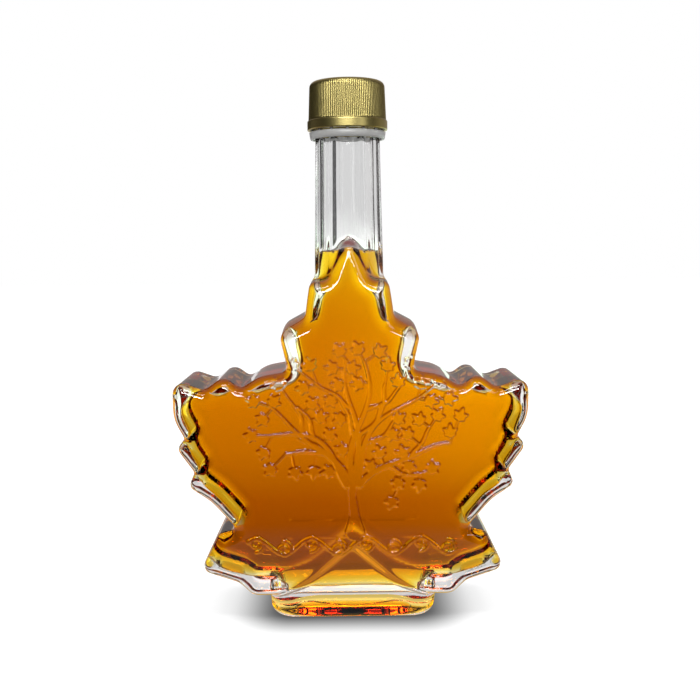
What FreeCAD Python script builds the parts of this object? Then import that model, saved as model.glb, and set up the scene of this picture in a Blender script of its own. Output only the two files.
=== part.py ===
"""Leaf-shaped glass bottle of syrup, capped and full.

A maple leaf outline, carried straight through the bottle's depth, makes the body. Its edges are rounded, its
top lobe slopes back to a six-sided neck, and its lower lobes hang over a low oblong foot. The blown cavity
follows the leaf only in the large, so the glass is thick in the teeth. Syrup fills it up into the neck. A
ribbed metallised screw cap sits on the lip, and a clear tamper ring hangs from it by thin bridges.

Frame: millimetres, +Z up, the leaf's front panel faces -Y, origin on the ground at the middle of the foot.
"""

import FreeCAD
import Part

import math
import os

# ---- Leaf body -------------------------------------------------------------------------------------------
LEAF_WIDTH = 122.0  # across the two side lobes
LEAF_BOTTOM = 9.3  # underside of the lower lobes
LEAF_HEIGHT = 122.4  # from there to the tip that lies on the neck
BODY_DEPTH = 41.0  # front panel to back panel
EDGE_ROUND = 1.7  # where the panels turn into the leaf's wall
SLOPE_LENGTH = 35.7  # under the tip, the panels lean back to the neck over this height
SLOPE_BACK = 6.5  # how far each panel has leaned back at the tip
SLOPE_BEND = 60.0  # radius of the gentle bend where the slope starts

# ---- Neck and lip ----------------------------------------------------------------------------------------
NECK_SIDES = 6
NECK_HEIGHT = 54.3  # the leaf's tip to the lip
NECK_ROOT = 27.7  # how far the neck reaches down inside the leaf
NECK_TAPER = 1.3  # the neck is this much wider at its root, in radius
NECK_CORNER = 1.6  # rounding of the six corners
NECK_WALL = 3.2  # glass round the bore, at the collar
COLLAR_RADIUS = 11.6
COLLAR_HEIGHT = 20.0  # round part of the neck, up to the lip
COLLAR_FLARE = 7.0  # height over which the six flats fade into it
LIP_ROUND = 0.8

# ---- Foot ------------------------------------------------------------------------------------------------
FOOT_WIDTH = 59.4
FOOT_RECESS = 2.0  # the leaf's panels stand out this far over the foot
FOOT_CORNER = 8.5
FOOT_EDGE = 3.0  # rounding where it meets the ground
FOOT_LAP = 2.0  # how far the foot runs on inside the body, over the arch between the lobes
PUSH_UP_RIM = 4.2  # width of the flat rim that the bottle stands on
PUSH_UP_RISE = 5.5  # the domed hollow under the base

# ---- Cavity and syrup ------------------------------------------------------------------------------------
SIDE_WALL = 3.3  # glass along the leaf's outline
PANEL_WALL = 3.0  # glass in the front and back panels
LOBE_FLOOR = 5.4  # glass under the syrup in the lower lobes
FOOT_WALL = 3.2
BASE_WALL = 5.5  # glass under the syrup, over the push-up
CAVITY_CORNER = 3.2  # inner corners of the leaf, in front view
CAVITY_ROUND = 2.2  # inner edges along the panels
FLOOR_ROUND = 3.0  # inner edge round the foot's floor
SYRUP_BELOW_TIP = 3.2  # the level in the neck, under the leaf's tip

# ---- Cap and tamper ring ---------------------------------------------------------------------------------
CAP_CLEARANCE = 0.3  # collar to skirt
CAP_WALL = 1.57  # skirt without its ribs
CAP_LID = 1.6
CAP_SKIRT = 15.1  # from the lip down to the lower rim
CAP_TAPER = 0.45  # the ribbed wall draws in by this up to its top
CAP_TOP_ROUND = 2.0
BAND_HEIGHT = 3.3  # smooth band at the lower rim
BAND_STEP = 0.3  # the band stands out over the ribs
BAND_ROUND = 0.3
RIBS = 120
RIB_DEPTH = 0.28
RIB_ROOT = 0.12  # how far the ribs' sides reach into the wall
RING_CLEARANCE = 0.3  # collar to ring
RING_WALL = 1.55
RING_TAPER = 0.35  # the ring is this much narrower at its foot
RING_HEIGHT = 2.5
RING_ROUND = 0.15
BRIDGES = 14
BRIDGE_HEIGHT = 0.6  # the slit between ring and cap
BRIDGE_WIDTH = 0.9
BRIDGE_WALL = 0.7
LAP = 0.2  # how far joined pieces reach into each other

TINY = 1e-4  # lengths under this count as none

# Right half of the leaf from its tip down to the arch between the lower lobes. Each corner has its place as
# shares of the half width and of the leaf's height, its rounding in mm, and whether the cavity follows it.
LEAF_CORNERS = [
    (0.000, 1.047, 2.95, False),  # tip on the neck
    (0.115, 0.890, 4.60, False),
    (0.215, 0.890, 2.00, True),  # shoulder of the top lobe
    (0.244, 0.801, 3.00, True),
    (0.392, 0.762, 4.50, True),  # its side tooth
    (0.343, 0.640, 2.60, True),  # upper bay
    (0.508, 0.626, 12.0, False),
    (0.620, 0.591, 3.00, True),
    (0.716, 0.627, 3.60, False),  # upper tooth of the side lobe
    (0.823, 0.587, 4.00, True),
    (1.000, 0.619, 3.20, True),  # corner of the side lobe
    (0.997, 0.512, 14.0, True),
    (0.934, 0.454, 1.20, False),
    (0.982, 0.426, 2.00, False),  # second tooth
    (0.884, 0.358, 1.40, False),
    (0.921, 0.317, 2.00, True),  # third tooth
    (0.795, 0.275, 20.0, False),
    (0.641, 0.188, 1.80, True),  # lower bay
    (0.762, 0.174, 2.50, True),
    (0.862, 0.073, 2.40, True),  # corner of the lower lobe
    (0.652, 0.038, 3.00, False),
    (0.570, 0.000, 4.00, True),
    (0.310, 0.000, 30.0, False),
    (0.000, 0.131, 1.20, False),  # top of the arch
]

# ---- Places that follow from the sizes -------------------------------------------------------------------
LEAF_TOP = LEAF_BOTTOM + LEAF_HEIGHT
ARCH_TOP = LEAF_BOTTOM + LEAF_CORNERS[-1][1] * LEAF_HEIGHT
LIP_TOP = LEAF_TOP + NECK_HEIGHT
COLLAR_START = LIP_TOP - COLLAR_HEIGHT
BORE_RADIUS = COLLAR_RADIUS - NECK_WALL
SYRUP_LEVEL = LEAF_TOP - SYRUP_BELOW_TIP
CAVITY_FLOOR = PUSH_UP_RISE + BASE_WALL
SKIRT_BORE = COLLAR_RADIUS + CAP_CLEARANCE
CAP_FOOT = LIP_TOP - CAP_SKIRT
CAP_TOP = LIP_TOP + CAP_LID
BAND_TOP = CAP_FOOT + BAND_HEIGHT
RING_BORE = COLLAR_RADIUS + RING_CLEARANCE
RING_TOP = CAP_FOOT - BRIDGE_HEIGHT
RING_FOOT = RING_TOP - RING_HEIGHT


def corner_places(follow_all=True):
    """The leaf's corners as (x, z, radius), once round: down the right side and up the left."""
    half = LEAF_WIDTH / 2
    right = [
        (u * half, LEAF_BOTTOM + v * LEAF_HEIGHT, r)
        for u, v, r, follows in LEAF_CORNERS
        if follow_all or follows
    ]
    left = [(-x, z, r) for x, z, r in reversed(right) if x > 0]
    return right + left


def rounded_outline(corners, place):
    """A closed wire through corners of (a, b, radius), sharp where the radius is 0, else with an arc.

    place turns (a, b) into a point.
    """
    count = len(corners)
    points = [FreeCAD.Vector(a, b, 0) for a, b, _ in corners]
    sides = [points[(i + 1) % count] - points[i] for i in range(count)]
    halves = [(sides[i - 1] * -1).getAngle(sides[i]) / 2 for i in range(count)]
    wanted = [corners[i][2] / math.tan(halves[i]) for i in range(count)]
    cuts = []
    for i, point in enumerate(points):
        # Two arcs on a short side share it, each by its own wish.
        room_before = sides[i - 1].Length / max(wanted[i - 1] + wanted[i], TINY)
        room_after = sides[i].Length / max(wanted[i] + wanted[(i + 1) % count], TINY)
        reach = wanted[i] * min(1, room_before, room_after)
        radius = reach * math.tan(halves[i])
        back = (sides[i - 1] * -1).normalize()
        ahead = FreeCAD.Vector(sides[i]).normalize()
        middle = (back + ahead).normalize() * (radius / math.sin(halves[i]) - radius)
        cuts.append((point + back * reach, point + middle, point + ahead * reach))
    edges = []
    for i, (start, middle, end) in enumerate(cuts):
        ends = [place(p.x, p.y) for p in (start, middle, end)]
        if corners[i][2] > 0:
            edges.append(Part.Arc(*ends).toShape())
        onward = cuts[(i + 1) % count][0]
        if (onward - end).Length > TINY:
            edges.append(Part.makeLine(ends[2], place(onward.x, onward.y)))
    return Part.Wire(edges)


def plain_outline(points, place):
    """A closed wire of straight lines."""
    ring = [place(a, b) for a, b in points]
    return Part.makePolygon(ring + ring[:1])


def front_view(x, z):
    return FreeCAD.Vector(x, 0, z)


def side_view(y, z):
    return FreeCAD.Vector(0, y, z)


def plan_view(x, y):
    return FreeCAD.Vector(x, y, 0)


def raised(outline, along):
    """The solid swept by an outline's face, half to each side of it."""
    face = Part.Face(outline)
    face.translate(along * -0.5)
    return face.extrude(along)


def turned(profile):
    """A solid of revolution about Z from a closed profile of (radius, height, rounding)."""
    face = Part.Face(rounded_outline(profile, front_view))
    return face.revolve(FreeCAD.Vector(0, 0, 0), FreeCAD.Vector(0, 0, 1), 360)


def inset_points(points, distance):
    """A polygon, given clockwise, with every side moved inwards by the distance."""
    moved = []
    count = len(points)
    for i in range(count):
        ahead = (points[(i + 1) % count] - points[i]).normalize()
        back = (points[i] - points[i - 1]).normalize()
        inward_ahead = FreeCAD.Vector(ahead.y, -ahead.x, 0)
        inward_back = FreeCAD.Vector(back.y, -back.x, 0)
        bisector = inward_ahead + inward_back
        share = 2 * distance / bisector.Length**2
        moved.append(points[i] + bisector * share)
    return moved


# ---- Side profile: how deep the body is at each height -----------------------------------------------------
def depth_envelope(inset):
    """A block with the body's side profile, its front and back moved in by inset. It clears the leaf's ends."""
    full = BODY_DEPTH / 2 - inset
    slope_foot = LEAF_TOP - SLOPE_LENGTH
    top = LEAF_TOP + SLOPE_LENGTH
    over = full - 2 * SLOPE_BACK
    corners = [
        (full, 0, 0),
        (full, slope_foot, SLOPE_BEND),
        (over, top, 0),
        (-over, top, 0),
        (-full, slope_foot, SLOPE_BEND),
        (-full, 0, 0),
    ]
    across = FreeCAD.Vector(2 * LEAF_WIDTH, 0, 0)
    return raised(rounded_outline(corners, side_view), across)


def leaf_block(corners, inset, edge_round):
    """A front-view outline carried through the body's depth, with rounded edges along its panels."""
    through = FreeCAD.Vector(0, 2 * BODY_DEPTH, 0)
    prism = raised(rounded_outline(corners, front_view), through)
    block = prism.common(depth_envelope(inset)).Solids[0]
    return block.makeFillet(edge_round, panel_edges(block))


def panel_edges(solid):
    """The edges where a body's leaning or upright panels meet its wall."""
    found = []
    for edge in solid.Edges:
        faces = solid.ancestorsOfType(edge, Part.Face)
        panels = [is_panel(face) for face in faces]
        if len(faces) == 2 and panels.count(True) == 1:
            found.append(edge)
    return found


def is_panel(face):
    """True for a face of the front or back panel: its normal has no X and a large Y."""
    u0, u1, v0, v1 = face.ParameterRange
    normal = face.normalAt((u0 + u1) / 2, (v0 + v1) / 2)
    return abs(normal.x) < 1e-6 and abs(normal.y) > 0.6


def leaf_body():
    return leaf_block(corner_places(), 0, EDGE_ROUND)


# ---- Neck --------------------------------------------------------------------------------------------------
def neck_section(radius, height):
    """The neck's six-sided outline at a height, with a corner at each side of the leaf."""
    turn = 2 * math.pi / NECK_SIDES
    corners = [
        (radius * math.cos(i * turn), radius * math.sin(i * turn), NECK_CORNER)
        for i in range(NECK_SIDES)
    ]
    wire = rounded_outline(corners, plan_view)
    wire.translate(FreeCAD.Vector(0, 0, height))
    return wire


def neck():
    """Six-sided neck whose flats fade into a round collar, up to the lip under the cap."""
    root = neck_section(COLLAR_RADIUS + NECK_TAPER, LEAF_TOP - NECK_ROOT)
    head = neck_section(COLLAR_RADIUS, COLLAR_START + LIP_ROUND)
    sides = Part.makeLoft([root, head], True, True)
    flat_radius = COLLAR_RADIUS * math.cos(math.pi / NECK_SIDES)
    flare_foot = COLLAR_START - COLLAR_FLARE
    collar = turned(
        [
            (0, flare_foot, 0),
            (flat_radius - LAP, flare_foot, 0),
            (COLLAR_RADIUS, COLLAR_START, COLLAR_RADIUS),
            (COLLAR_RADIUS, LIP_TOP, LIP_ROUND),
            (0, LIP_TOP, 0),
        ]
    )
    return sides.fuse(collar)


# ---- Foot --------------------------------------------------------------------------------------------------
def oblong(width, depth, corner, bottom, top):
    """An upright block with rounded corners in plan."""
    x, y = width / 2, depth / 2
    corners = [(-x, -y, corner), (x, -y, corner), (x, y, corner), (-x, y, corner)]
    face = Part.Face(rounded_outline(corners, plan_view))
    face.translate(FreeCAD.Vector(0, 0, bottom))
    return face.extrude(FreeCAD.Vector(0, 0, top - bottom))


def foot_block(inset, bottom, top, edge_round):
    """The foot's block, or its room inside when moved in by inset, rounded at the bottom."""
    depth = BODY_DEPTH - 2 * FOOT_RECESS
    block = oblong(
        FOOT_WIDTH - 2 * inset, depth - 2 * inset, FOOT_CORNER - inset, bottom, top
    )
    low = [edge for edge in block.Edges if edge.BoundBox.ZMax < bottom + TINY]
    return block.makeFillet(edge_round, low)


def foot():
    return foot_block(0, 0, ARCH_TOP + FOOT_LAP, FOOT_EDGE)


def push_up():
    """The hollow under the base: a long dome inside the flat rim, the top of a lying round-ended bar."""
    rim = FOOT_EDGE + PUSH_UP_RIM
    reach = BODY_DEPTH / 2 - FOOT_RECESS - rim
    radius = (reach**2 + PUSH_UP_RISE**2) / (2 * PUSH_UP_RISE)
    end = FOOT_WIDTH / 2 - rim - reach
    left = FreeCAD.Vector(-end, 0, PUSH_UP_RISE - radius)
    right = FreeCAD.Vector(end, 0, PUSH_UP_RISE - radius)
    bar = Part.makeCylinder(radius, 2 * end, left, FreeCAD.Vector(1, 0, 0))
    balls = [Part.makeSphere(radius, left), Part.makeSphere(radius, right)]
    return bar.fuse(balls).removeSplitter()


# ---- Cavity ------------------------------------------------------------------------------------------------
def leaf_cavity():
    """The room inside the leaf: its outline without the small teeth, moved in by the wall."""
    followed = corner_places(follow_all=False)
    points = [FreeCAD.Vector(x, z, 0) for x, z, _ in followed]
    floor = LEAF_BOTTOM + LOBE_FLOOR
    inner = inset_points(points, SIDE_WALL)
    room = [(point.x, max(point.y, floor), CAVITY_CORNER) for point in inner]
    return leaf_block(room, PANEL_WALL, CAVITY_ROUND)


def foot_cavity():
    return foot_block(FOOT_WALL, CAVITY_FLOOR, ARCH_TOP + FOOT_LAP, FLOOR_ROUND)


def bore():
    """From inside the leaf's top lobe out through the lip."""
    root = LEAF_TOP - NECK_ROOT
    return Part.makeCylinder(
        BORE_RADIUS, LIP_TOP + LAP - root, FreeCAD.Vector(0, 0, root)
    )


def whole_cavity():
    return leaf_cavity().fuse([foot_cavity(), bore()]).removeSplitter()


def glass(cavity):
    outside = leaf_body().fuse([neck(), foot()])
    return outside.cut([cavity, push_up()]).removeSplitter()


def syrup(cavity):
    """What fills the cavity up to the level in the neck."""
    corner = FreeCAD.Vector(-LEAF_WIDTH, -BODY_DEPTH, SYRUP_LEVEL)
    return cavity.cut(Part.makeBox(2 * LEAF_WIDTH, 2 * BODY_DEPTH, LIP_TOP, corner))


# ---- Cap ---------------------------------------------------------------------------------------------------
def ribbed_section(radius, height):
    """The ribs in plan: a closed saw of RIBS ridges, tips at the radius and valleys inside the cap's wall."""
    step = math.pi / RIBS
    points = []
    for i in range(2 * RIBS):
        r = radius if i % 2 == 0 else radius - RIB_DEPTH - RIB_ROOT
        points.append((r * math.cos(i * step), r * math.sin(i * step)))
    wire = plain_outline(points, plan_view)
    wire.translate(FreeCAD.Vector(0, 0, height))
    return wire


def cap():
    """Ribbed skirt, smooth lower band and a closed top that rests on the lip."""
    wall_low = SKIRT_BORE + CAP_WALL
    wall_high = wall_low - CAP_TAPER
    band = wall_low + RIB_DEPTH + BAND_STEP
    shell = turned(
        [
            (0, CAP_FOOT, 0),
            (band, CAP_FOOT, BAND_ROUND),
            (band, BAND_TOP, BAND_ROUND),
            (wall_low, BAND_TOP, 0),
            (wall_high, CAP_TOP, CAP_TOP_ROUND),
            (0, CAP_TOP, 0),
        ]
    )
    ribs = Part.makeLoft(
        [
            ribbed_section(wall_low + RIB_DEPTH, BAND_TOP - LAP),
            ribbed_section(wall_high + RIB_DEPTH, CAP_TOP - CAP_TOP_ROUND - LAP),
        ],
        True,
        True,
    )
    room = Part.makeCylinder(
        SKIRT_BORE, CAP_SKIRT + LAP, FreeCAD.Vector(0, 0, CAP_FOOT - LAP)
    )
    return shell.fuse(ribs).cut(room)


def tamper_ring():
    """A thin tapered ring round the collar, with bridges up to the cap."""
    high = RING_BORE + RING_WALL
    ring = turned(
        [
            (RING_BORE, RING_FOOT, RING_ROUND),
            (high - RING_TAPER, RING_FOOT, RING_ROUND),
            (high, RING_TOP, RING_ROUND),
            (RING_BORE, RING_TOP, RING_ROUND),
        ]
    )
    foot = FreeCAD.Vector(RING_BORE + RING_ROUND, -BRIDGE_WIDTH / 2, RING_TOP - LAP)
    bridges = []
    for i in range(BRIDGES):
        bridge = Part.makeBox(BRIDGE_WALL, BRIDGE_WIDTH, BRIDGE_HEIGHT + LAP, foot)
        angle = (i + 0.5) * 360 / BRIDGES
        bridge.rotate(FreeCAD.Vector(), FreeCAD.Vector(0, 0, 1), angle)
        bridges.append(bridge)
    return ring.fuse(bridges)


def save(name, shape):
    """Writes one node, and stops if it isn't one closed valid solid."""
    solids = shape.Solids
    if len(solids) != 1 or not solids[0].isValid():
        raise RuntimeError(f"{name}: {len(solids)} solids, valid {shape.isValid()}")
    solids[0].exportStep(f"parts/{name}.step")
    print(name, round(solids[0].Volume / 1000, 1), "cm3", solids[0].BoundBox)


def main():
    os.makedirs("parts", exist_ok=True)
    cavity = whole_cavity()
    save("glass_bottle", glass(cavity))
    save("syrup", syrup(cavity))
    save("cap", cap())
    save("tamper_ring", tamper_ring())


main()
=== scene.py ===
"""Looks of a leaf-shaped glass bottle of syrup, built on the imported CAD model.

Lengths are in millimetres until make_object() turns them into metres. The glass and the syrup are implicit
forms: a form is a function of x, y and z that is negative inside. Each is sampled on a grid, turned into
quads, and its points are then moved exactly onto the form, with the form's own normals.
"""

import math

import bmesh
import bpy
import numpy as np
import openvdb
from mathutils import Euler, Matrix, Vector


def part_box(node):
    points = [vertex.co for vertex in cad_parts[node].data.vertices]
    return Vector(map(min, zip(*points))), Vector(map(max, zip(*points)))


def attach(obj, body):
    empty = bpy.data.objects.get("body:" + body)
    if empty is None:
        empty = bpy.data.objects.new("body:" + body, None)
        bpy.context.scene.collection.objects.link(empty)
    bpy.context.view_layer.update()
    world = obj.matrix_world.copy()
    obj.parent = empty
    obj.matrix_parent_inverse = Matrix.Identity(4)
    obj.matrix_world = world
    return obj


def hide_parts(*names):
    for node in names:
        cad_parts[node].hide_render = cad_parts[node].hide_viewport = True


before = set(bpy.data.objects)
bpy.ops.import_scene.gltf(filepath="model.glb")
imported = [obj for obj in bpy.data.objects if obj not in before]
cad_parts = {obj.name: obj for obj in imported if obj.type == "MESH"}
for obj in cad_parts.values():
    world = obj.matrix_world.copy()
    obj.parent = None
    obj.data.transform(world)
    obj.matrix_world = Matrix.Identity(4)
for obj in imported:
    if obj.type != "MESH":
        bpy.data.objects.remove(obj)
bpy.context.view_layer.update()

MM = 0.001
SEED = 11


# ---- Sizes, in millimetres ---------------------------------------------------------------------------------
def node_box(node):
    """A CAD node's lowest and highest corners in millimetres."""
    low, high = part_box(node)
    return [v / MM for v in low], [v / MM for v in high]


GLASS_LOW, GLASS_HIGH = node_box("glass_bottle")
SYRUP_LOW, SYRUP_HIGH = node_box("syrup")
CAP_LOW, CAP_HIGH = node_box("cap")
RING_LOW, RING_HIGH = node_box("tamper_ring")

LEAF_WIDTH = 122.0
LEAF_BOTTOM = 9.3
LEAF_HEIGHT = 122.4
LEAF_TOP = LEAF_BOTTOM + LEAF_HEIGHT
HALF_DEPTH = GLASS_HIGH[1]
EDGE_ROUND = 4.2  # front and back edges of the leaf
LEAF_SWELL = 0.55  # the sides stand out this much more than the flat outline
SHOULDER_Z = 103.0  # the small shoulders drop towards the front and back
SHOULDER_DROP = 3.4
SHOULDER_REACH = 7.0
SLOPE_LENGTH = 35.7  # the panels lean back to the neck over this height
SLOPE_BACK = 6.5
SLOPE_EASE = 8.0  # how gently the lean begins
SLOPE_LAG = 1.2
CROWN = 0.35  # the panels bulge this much in their middle
CROWN_HALF_WIDTH = 45.0
CROWN_HALF_HEIGHT = 50.0
CROWN_Z = 65.0

COLLAR_RADIUS = 11.6
COLLAR_START = 170.9
FLARE_START = 167.6
NECK_TAPER = 1.3  # the neck's foot is this much wider than the collar
NECK_ROOT = 104.0  # the neck starts here, inside the leaf
NECK_CORNER = 1.2
NECK_BLEND = 2.5  # how softly neck and leaf meet
NECK_WALL = 3.2
LIP_TOP = GLASS_HIGH[2]
LIP_ROUND = 0.8

FOOT_HALF_WIDTH = 29.7
FOOT_HALF_DEPTH = 18.5
FOOT_CORNER = 8.5
FOOT_EDGE = 3.6
FOOT_TOP = 27.0
FOOT_DRAFT = 0.9
FOOT_BLEND = 1.0
PUSH_UP_INSET = 4.4
PUSH_UP_RISE = 4.0
PUSH_UP_BLEND = 0.8

SIDE_WALL = 2.3
UPPER_WALL = 4.2  # the leaf's side wall above UPPER_WALL_Z
UPPER_WALL_Z = 79.0
UPPER_WALL_EASE = 6.0
PANEL_WALL = 3.0
LOBE_FLOOR = 6.0  # glass under the cavity in the lower lobes
LOBE_FLOOR_EDGE = 2.5
FOOT_WALL = 3.2
FOOT_ROOM_CORNER = FOOT_CORNER - FOOT_WALL + 1.0
CAVITY_EDGE = 4.5
CAVITY_FLOOR = SYRUP_LOW[2]
CAVITY_FLOOR_EDGE = 4.0
BORE_BLEND = 6.0
FOOT_ROOM_BLEND = 4.0
SYRUP_LEVEL = SYRUP_HIGH[2]
SYRUP_LAP = 0.15  # the syrup reaches this far into the glass
MENISCUS = 1.1
MENISCUS_REACH = 0.8

RELIEF_HEIGHT = 0.75
RELIEF_EDGE = 0.5

OUTLINE_STEP = 0.4  # grid spacing of the leaf's outline
OUTSIDE_BLUR = 0.45
CAVITY_BLUR = 1.8
GLASS_STEP = 0.75  # grid spacing of the glass
SYRUP_STEP = 0.9
RELIEF_STEP = 0.1
FAR = 1e3

# Right half of the leaf from its tip on the neck down to the arch between its lower lobes: each corner's
# place as shares of the half width and of the height, and its rounding.
LEAF_CORNERS = [
    (0.000, 1.047, 2.95),
    (0.115, 0.890, 4.60),
    (0.215, 0.890, 2.00),
    (0.244, 0.801, 3.00),
    (0.392, 0.762, 4.50),
    (0.343, 0.640, 2.60),
    (0.508, 0.626, 12.0),
    (0.620, 0.591, 3.00),
    (0.716, 0.627, 3.60),
    (0.823, 0.587, 4.00),
    (1.000, 0.619, 3.20),
    (0.997, 0.512, 14.0),
    (0.934, 0.454, 1.20),
    (0.982, 0.426, 2.00),
    (0.884, 0.358, 1.40),
    (0.921, 0.317, 2.00),
    (0.795, 0.275, 20.0),
    (0.641, 0.188, 1.80),
    (0.762, 0.174, 2.50),
    (0.862, 0.073, 2.40),
    (0.652, 0.038, 3.00),
    (0.570, 0.000, 4.00),
    (0.310, 0.000, 30.0),
    (0.000, 0.131, 1.20),
]


# ---- Plane curves and fields -------------------------------------------------------------------------------
def rounded_polygon(corners, step=0.5):
    """Points along a closed polygon of (x, z, radius) whose corners are arcs."""
    points = np.array([c[:2] for c in corners])
    ahead = np.roll(points, -1, axis=0) - points
    length = np.hypot(*ahead.T)
    ahead = ahead / length[:, None]
    back = -np.roll(ahead, 1, axis=0)
    half = np.arccos(np.clip((ahead * back).sum(axis=1), -1, 1)) / 2
    wanted = np.array([c[2] for c in corners]) / np.tan(half)
    room = length / (wanted + np.roll(wanted, -1))
    reach = wanted * np.minimum(1, np.minimum(room, np.roll(room, 1)))
    path = []
    for p, a, b, h, r in zip(points, ahead, back, half, reach):
        radius = r * math.tan(h)
        middle = p + (a + b) / np.hypot(*(a + b)) * radius / math.sin(h)
        start = p + b * r - middle
        turn = math.pi - 2 * h
        side = np.sign(start[1] * b[0] - start[0] * b[1])
        count = max(2, int(radius * turn / step) + 1)
        for t in np.linspace(0, turn * side, count + 1):
            c, s = math.cos(t), math.sin(t)
            path.append(
                middle + (start[0] * c - start[1] * s, start[0] * s + start[1] * c)
            )
    return np.array(path)


def leaf_path():
    """The leaf's whole outline, from its right half."""
    half = LEAF_WIDTH / 2
    right = [(u * half, LEAF_BOTTOM + v * LEAF_HEIGHT, r) for u, v, r in LEAF_CORNERS]
    left = [(-x, z, r) for x, z, r in reversed(right) if x > 0]
    return rounded_polygon(right + left)


def polygon_distance(path, xs, zs):
    """Signed distance to a closed path over a grid, negative inside."""
    gx, gz = np.meshgrid(xs, zs, indexing="ij")
    nearest = np.full(gx.shape, np.inf)
    inside = np.zeros(gx.shape, bool)
    for (ax, az), (bx, bz) in zip(path, np.roll(path, -1, axis=0)):
        dx, dz = bx - ax, bz - az
        px, pz = gx - ax, gz - az
        share = np.clip((px * dx + pz * dz) / max(dx * dx + dz * dz, 1e-12), 0, 1)
        nearest = np.minimum(nearest, (px - share * dx) ** 2 + (pz - share * dz) ** 2)
        if az != bz:
            crosses = (az > gz) != (bz > gz)
            inside ^= crosses & (px < dx * pz / dz)
    return np.where(inside, -1, 1) * np.sqrt(nearest)


def blurred(values, sigma):
    """Gaussian blur by sigma samples along both axes."""
    reach = int(3 * sigma + 1)
    kernel = np.exp(-0.5 * (np.arange(-reach, reach + 1) / sigma) ** 2)
    kernel /= kernel.sum()
    for axis in (0, 1):
        padded = np.pad(
            values, [(reach, reach) if a == axis else (0, 0) for a in (0, 1)], "edge"
        )
        size = values.shape[axis]
        values = sum(
            k * np.take(padded, range(i, i + size), axis=axis)
            for i, k in enumerate(kernel)
        )
    return values


class Field:
    """Values on a grid over x and z, read smoothly between them."""

    def __init__(self, xs, zs, values):
        self.low = (xs[0], zs[0])
        self.step = xs[1] - xs[0]
        self.values = values

    def __call__(self, x, z):
        places, weights = [], []
        for value, low, size in zip((x, z), self.low, self.values.shape):
            at = np.clip((value - low) / self.step, 1, size - 2.001)
            cell = np.floor(at).astype(int)
            t = at - cell
            places.append(cell)
            weights.append(
                (
                    t * (-0.5 + t * (1 - 0.5 * t)),
                    1 + t * t * (-2.5 + 1.5 * t),
                    t * (0.5 + t * (2 - 1.5 * t)),
                    t * t * (-0.5 + 0.5 * t),
                )
            )
        total = 0
        for i in range(4):
            for j in range(4):
                value = self.values[places[0] + i - 1, places[1] + j - 1]
                total = total + weights[0][i] * weights[1][j] * value
        return total


def leaf_fields():
    """The leaf outline's distance field, crisp for the outside and melted for the cavity."""
    xs = np.arange(-LEAF_WIDTH / 2 - 8, LEAF_WIDTH / 2 + 8, OUTLINE_STEP)
    zs = np.arange(LEAF_BOTTOM - 12, LEAF_TOP + 16, OUTLINE_STEP)
    distance = polygon_distance(leaf_path(), xs, zs)
    return [
        Field(xs, zs, blurred(distance, blur / OUTLINE_STEP))
        for blur in (OUTSIDE_BLUR, CAVITY_BLUR)
    ]


# ---- Ways to combine forms ---------------------------------------------------------------------------------
def rounded_both(a, b, radius):
    """Inside both forms, with their common edge rounded."""
    a, b = a + radius, b + radius
    return (
        np.minimum(np.maximum(a, b), 0)
        + np.hypot(np.maximum(a, 0), np.maximum(b, 0))
        - radius
    )


def joined(a, b, blend):
    """Inside either form, melted together over about the blend's width."""
    near = np.maximum(blend - np.abs(a - b), 0) / blend
    return np.minimum(a, b) - near * near * blend / 4


def shared(a, b, blend):
    """Inside both forms, with their common edge melted over about the blend's width."""
    return -joined(-a, -b, blend)


def eased(value, low, high):
    """0 below low, 1 above high, and a smooth step between."""
    t = np.clip((value - low) / (high - low), 0, 1)
    return t * t * (3 - 2 * t)


def oblong(x, y, half_width, half_depth, corner):
    """Distance to a rectangle with rounded corners, the foot's plan."""
    qx = np.abs(x) - (half_width - corner)
    qy = np.abs(y) - (half_depth - corner)
    outside = np.hypot(np.maximum(qx, 0), np.maximum(qy, 0))
    return outside + np.minimum(np.maximum(qx, qy), 0) - corner


# ---- The glass and the syrup -------------------------------------------------------------------------------
LEAF, MELTED_LEAF = leaf_fields()


def half_depth(x, z):
    """Half the body's depth: full low down, leaning back to the neck, with a faint crown in the middle."""
    over = z - (LEAF_TOP - SLOPE_LENGTH)
    ramp = 0.5 * (over + np.sqrt(over * over + SLOPE_EASE**2)) - SLOPE_LAG
    lean = SLOPE_BACK / SLOPE_LENGTH * np.maximum(ramp, 0)
    off_middle = (x / CROWN_HALF_WIDTH) ** 2 + ((z - CROWN_Z) / CROWN_HALF_HEIGHT) ** 2
    return HALF_DEPTH - lean - CROWN * (1 - np.exp(-off_middle))


def shoulder_drop(y, z):
    """How much lower the small shoulders are towards the front and back."""
    near = np.exp(-(((z - SHOULDER_Z) / SHOULDER_REACH) ** 2))
    return SHOULDER_DROP * (y / HALF_DEPTH) ** 2 * near


def neck_outside(x, y, z):
    """Six flats with softened corners, which fade into a round collar."""
    rise = (COLLAR_START - z) / (COLLAR_START - NECK_ROOT)
    radius = COLLAR_RADIUS + NECK_TAPER * np.clip(rise, 0, 1)
    turn = math.pi / 3
    sided = np.abs(y)
    for angle in (turn, -turn):
        flat = np.abs(x * math.sin(angle) + y * math.cos(angle))
        sided = shared(sided, flat, NECK_CORNER)
    sided = sided - radius * math.cos(turn / 2)
    turned = np.hypot(x, y) - COLLAR_RADIUS
    fade = eased(z, FLARE_START, COLLAR_START)
    side = sided * (1 - fade) + turned * fade
    return np.maximum(rounded_both(side, z - LIP_TOP, LIP_ROUND), NECK_ROOT - z)


def foot_outside(x, y, z):
    """The oblong foot, a little narrower at the ground."""
    draft = FOOT_DRAFT * (1 - np.clip(z / LEAF_BOTTOM, 0, 1.5))
    plan = oblong(x, y, FOOT_HALF_WIDTH - draft, FOOT_HALF_DEPTH - draft / 2, FOOT_CORNER)
    return np.maximum(rounded_both(plan, -z, FOOT_EDGE), z - FOOT_TOP)


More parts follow.
